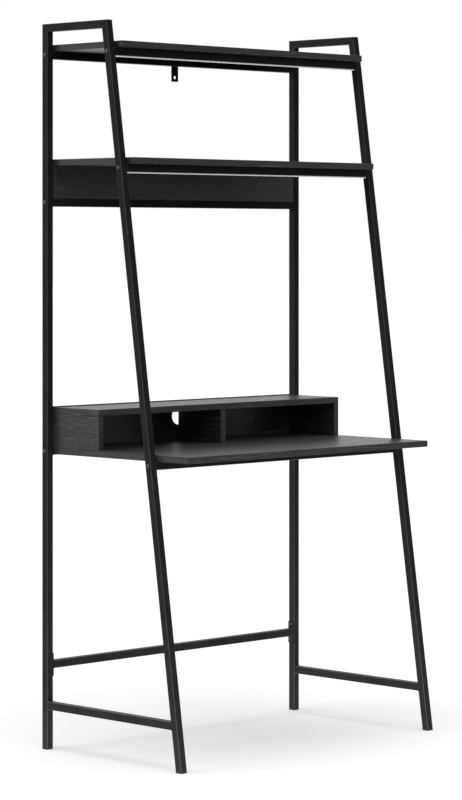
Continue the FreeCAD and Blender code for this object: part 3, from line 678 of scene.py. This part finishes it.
class LADDERDESK_OT_coat_steel(bpy.types.Operator):
    """Powder-coats the side frames, rails, stretcher and wall tab"""

    bl_idname = "ladder_desk.coat_steel"
    bl_label = "Coat the steel"

    def execute(self, context):
        material = steel_material(context.scene.ladder_desk_finish)
        coat(FRAME_TUBES + BOLTED_RAILS + WELDED_PIECES, material)
        return {"FINISHED"}


class LADDERDESK_OT_face_boards(bpy.types.Operator):
    """Faces the shelves, the desk and the hutch with black oak grain"""

    bl_idname = "ladder_desk.face_boards"
    bl_label = "Face the boards"

    def execute(self, context):
        finish = context.scene.ladder_desk_finish
        across, deep, upright = range(3)
        coat(LONG_BOARDS, board_material("oak_grain_across", finish, across, deep))
        coat(UPRIGHTS, board_material("oak_grain_deep", finish, deep, upright))
        return {"FINISHED"}


class LADDERDESK_OT_mould_feet(bpy.types.Operator):
    """Gives the feet their moulded plastic and adds caps over the cam locks"""

    bl_idname = "ladder_desk.mould_feet"
    bl_label = "Mould the feet and caps"

    def execute(self, context):
        hardware = context.scene.ladder_desk_hardware
        material = plastic_material(context.scene.ladder_desk_finish)
        coat(FEET, material)
        add_piece("cam_caps", cap_mesh(hardware), cap_places(hardware.cam_drop), material)
        return {"FINISHED"}


class LADDERDESK_OT_stick_strips(bpy.types.Operator):
    """Gives the strips under the shelves' front rails their milky plastic"""

    bl_idname = "ladder_desk.stick_strips"
    bl_label = "Stick the strips"

    def execute(self, context):
        coat(RAIL_STRIPS, strip_material(context.scene.ladder_desk_finish))
        return {"FINISHED"}


class LADDERDESK_OT_turn_bolts(bpy.types.Operator):
    """Makes the button-head bolts of the rails and of the stretcher's end plates"""

    bl_idname = "ladder_desk.turn_bolts"
    bl_label = "Turn the bolts"

    def execute(self, context):
        hardware = context.scene.ladder_desk_hardware
        material = plated_material("black_zinc", context.scene.ladder_desk_finish.bolt, 0.26, 0.38)
        rail_bolt = bolt_mesh(hardware, hardware.bolt_length)
        add_piece("button_bolts", rail_bolt, rail_bolt_places(), material, ["rail_bolts"])
        plate_screw = bolt_mesh(hardware, hardware.plate_screw_length)
        places = plate_screw_places(hardware.plate_pitch)
        add_piece("plate_bolts", plate_screw, places, material, ["stretcher_screws"])
        return {"FINISHED"}


class LADDERDESK_OT_drive_screws(bpy.types.Operator):
    """Makes the pan-head screws in the rails, under the hutch and behind the desk and hutch"""

    bl_idname = "ladder_desk.drive_screws"
    bl_label = "Drive the screws"

    def execute(self, context):
        hardware = context.scene.ladder_desk_hardware
        material = plated_material("bright_zinc", context.scene.ladder_desk_finish.zinc, 0.28, 0.4)
        rise = hardware.screw_rise
        upward = {"hutch_base_screws": upright_points(hardware.upright_inset)}
        spread = hardware.screw_spread
        for node, seats in SCREWED_FROM_BELOW.items():
            lines = [middle(seat).y for seat in seats]
            upward[node] = [point for line in lines for point in spread_pair(spread, line)]
        edge_points = spread_pair(hardware.edge_spread, middle("desk_top").z)
        forward = {"hutch_back_screws": back_points(hardware), "desk_edge_screws": edge_points}
        runs = {node: upward_screws(node, points, rise) for node, points in upward.items()}
        runs |= {node: forward_screws(node, points, rise) for node, points in forward.items()}
        for node, (places, reach) in runs.items():
            add_piece(f"pan_head_{node}", screw_mesh(hardware, reach), places, material, [node])
        coat(HIDDEN_STEEL + CAM_PARTS, material)
        return {"FINISHED"}


class LADDERDESK_OT_glue_dowels(bpy.types.Operator):
    """Gives the dowels their plain beech"""

    bl_idname = "ladder_desk.glue_dowels"
    bl_label = "Glue the dowels"

    def execute(self, context):
        coat(DOWELS, beech_material(context.scene.ladder_desk_finish))
        return {"FINISHED"}


class LADDERDESK_OT_weld_frames(bpy.types.Operator):
    """Lays the weld beads of the foot rails, the stretcher and the wall tab"""

    bl_idname = "ladder_desk.weld_frames"
    bl_label = "Weld the frames"

    def execute(self, context):
        hardware = context.scene.ladder_desk_hardware
        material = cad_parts["left_foot_rail"].data.materials[0]
        places = ripple_places(hardware.weld_pitch, hardware.weld_width)
        add_piece("weld_beads", ripple_mesh(hardware), places, material)
        return {"FINISHED"}


# Stage
def seen_directly(tree):
    """One for what the camera sees, straight or by way of a gloss or glass, and nothing for other rays."""
    path = add(tree, "ShaderNodeLightPath").outputs
    first = math_of(tree, "MAXIMUM", path["Is Camera Ray"], path["Is Glossy Ray"])
    return math_of(tree, "MAXIMUM", first, path["Is Transmission Ray"])


def light_world(stage):
    """A white surround that lights the desk evenly and gently."""
    world = bpy.data.worlds.new("white_surround")
    world.use_nodes = True
    tree = world.node_tree
    tree.nodes.clear()
    even = add(tree, "ShaderNodeBackground", inputs={"Color": WHITE, "Strength": stage.sky})
    white = add(tree, "ShaderNodeBackground", inputs={"Color": WHITE})
    inputs = {0: seen_directly(tree), 1: even.outputs["Background"], 2: white.outputs["Background"]}
    mix = add(tree, "ShaderNodeMixShader", inputs=inputs)
    output = add(tree, "ShaderNodeOutputWorld")
    tree.links.new(mix.outputs["Shader"], output.inputs["Surface"])
    bpy.context.scene.world = world


def lay_floor(stage):
    """A wide pale floor that keeps the desk's shadow and throws light back up round the desk."""
    bm = bmesh.new()
    bmesh.ops.create_grid(bm, x_segments=1, y_segments=1, size=FLOOR_REACH)
    mesh = bpy.data.meshes.new("floor")
    bm.to_mesh(mesh)
    bm.free()
    floor = bpy.data.objects.new("floor", mesh)
    bpy.context.scene.collection.objects.link(floor)
    material = bpy.data.materials.new("pale_floor")
    material.use_nodes = True
    tree = material.node_tree
    tree.nodes.clear()
    paint = add(tree, "ShaderNodeBsdfDiffuse", inputs={"Color": opaque(stage.floor)}).outputs["BSDF"]
    reach = add(tree, "ShaderNodeVectorMath", {"operation": "LENGTH"}, {0: place_of(tree)}).outputs["Value"]
    throw = remap(tree, reach, stage.pool_inner, stage.pool_outer, stage.floor_bounce, 0.0)
    bounce = add(tree, "ShaderNodeEmission", inputs={"Strength": throw}).outputs["Emission"]
    glow = add(tree, "ShaderNodeEmission", inputs={"Strength": stage.floor_glow}).outputs["Emission"]
    bright = add(tree, "ShaderNodeAddShader", inputs={0: paint, 1: glow}).outputs["Shader"]
    mix = add(tree, "ShaderNodeMixShader", inputs={0: seen_directly(tree), 1: bounce, 2: bright})
    output = add(tree, "ShaderNodeOutputMaterial")
    tree.links.new(mix.outputs["Shader"], output.inputs["Surface"])
    mesh.materials.append(material)


def hang_lamp(name, strength, spread, direction):
    """A soft even light from a direction."""
    lamp = bpy.data.lights.new(name, "SUN")
    lamp.energy = strength
    lamp.angle = math.radians(spread)
    lamp_object = bpy.data.objects.new(name, lamp)
    lamp_object.rotation_euler = Vector(direction).to_track_quat("Z", "Y").to_euler()
    bpy.context.scene.collection.objects.link(lamp_object)


def stand_camera(stage):
    """A level camera at the photograph's viewing angle."""
    camera = bpy.data.cameras.new("camera")
    camera.lens = stage.camera_lens
    camera.shift_y = stage.camera_shift
    camera.clip_end = CAMERA_REACH
    camera_object = bpy.data.objects.new("camera", camera)
    camera_object.location = stage.camera_place
    camera_object.rotation_euler = (math.pi / 2, 0, stage.camera_turn)
    bpy.context.scene.collection.objects.link(camera_object)
    bpy.context.scene.camera = camera_object


class LADDERDESK_OT_set_stage(bpy.types.Operator):
    """Sets the floor, the surround, the lights and the camera"""

    bl_idname = "ladder_desk.set_stage"
    bl_label = "Set the stage"

    def execute(self, context):
        stage = context.scene.ladder_desk_stage
        light_world(stage)
        lay_floor(stage)
        strengths = {
            "overhead": stage.overhead,
            "from_left": stage.side_light,
            "from_front": stage.front_light,
        }
        for name, (spread, direction) in LAMPS.items():
            hang_lamp(name, strengths[name], spread, direction)
        stand_camera(stage)
        context.scene.view_settings.view_transform = "Standard"
        return {"FINISHED"}


OPERATORS = (
    LADDERDESK_OT_coat_steel,
    LADDERDESK_OT_face_boards,
    LADDERDESK_OT_mould_feet,
    LADDERDESK_OT_stick_strips,
    LADDERDESK_OT_turn_bolts,
    LADDERDESK_OT_drive_screws,
    LADDERDESK_OT_glue_dowels,
    LADDERDESK_OT_weld_frames,
    LADDERDESK_OT_set_stage,
)


class LADDERDESK_PT_panel(bpy.types.Panel):
    """Lists the steps and the sizes and colours that they use"""

    bl_idname = "LADDERDESK_PT_panel"
    bl_label = "Ladder desk"
    bl_space_type = "VIEW_3D"
    bl_region_type = "UI"
    bl_category = "Ladder desk"

    def draw(self, context):
        for step in OPERATORS:
            self.layout.operator(step.bl_idname)
        for name in GROUPS:
            group = getattr(context.scene, name)
            box = self.layout.box()
            for field in group.__annotations__:
                box.prop(group, field)


GROUPS = {
    "ladder_desk_finish": LadderDeskFinish,
    "ladder_desk_hardware": LadderDeskHardware,
    "ladder_desk_stage": LadderDeskStage,
}
CLASSES = (*GROUPS.values(), *OPERATORS, LADDERDESK_PT_panel)


def register():
    """Registers the classes and hangs their settings on the scene."""
    for item in CLASSES:
        bpy.utils.register_class(item)
    for name, group in GROUPS.items():
        setattr(bpy.types.Scene, name, PointerProperty(type=group))


def unregister():
    """Takes the settings and the classes away again."""
    for name in GROUPS:
        delattr(bpy.types.Scene, name)
    for item in reversed(CLASSES):
        bpy.utils.unregister_class(item)


def main():
    """Finishes the desk and sets the stage."""
    register()
    bpy.ops.ladder_desk.coat_steel()
    bpy.ops.ladder_desk.face_boards()
    bpy.ops.ladder_desk.mould_feet()
    bpy.ops.ladder_desk.stick_strips()
    bpy.ops.ladder_desk.turn_bolts()
    bpy.ops.ladder_desk.drive_screws()
    bpy.ops.ladder_desk.glue_dowels()
    bpy.ops.ladder_desk.weld_frames()
    bpy.ops.ladder_desk.set_stage()


if __name__ == "__main__":
    main()
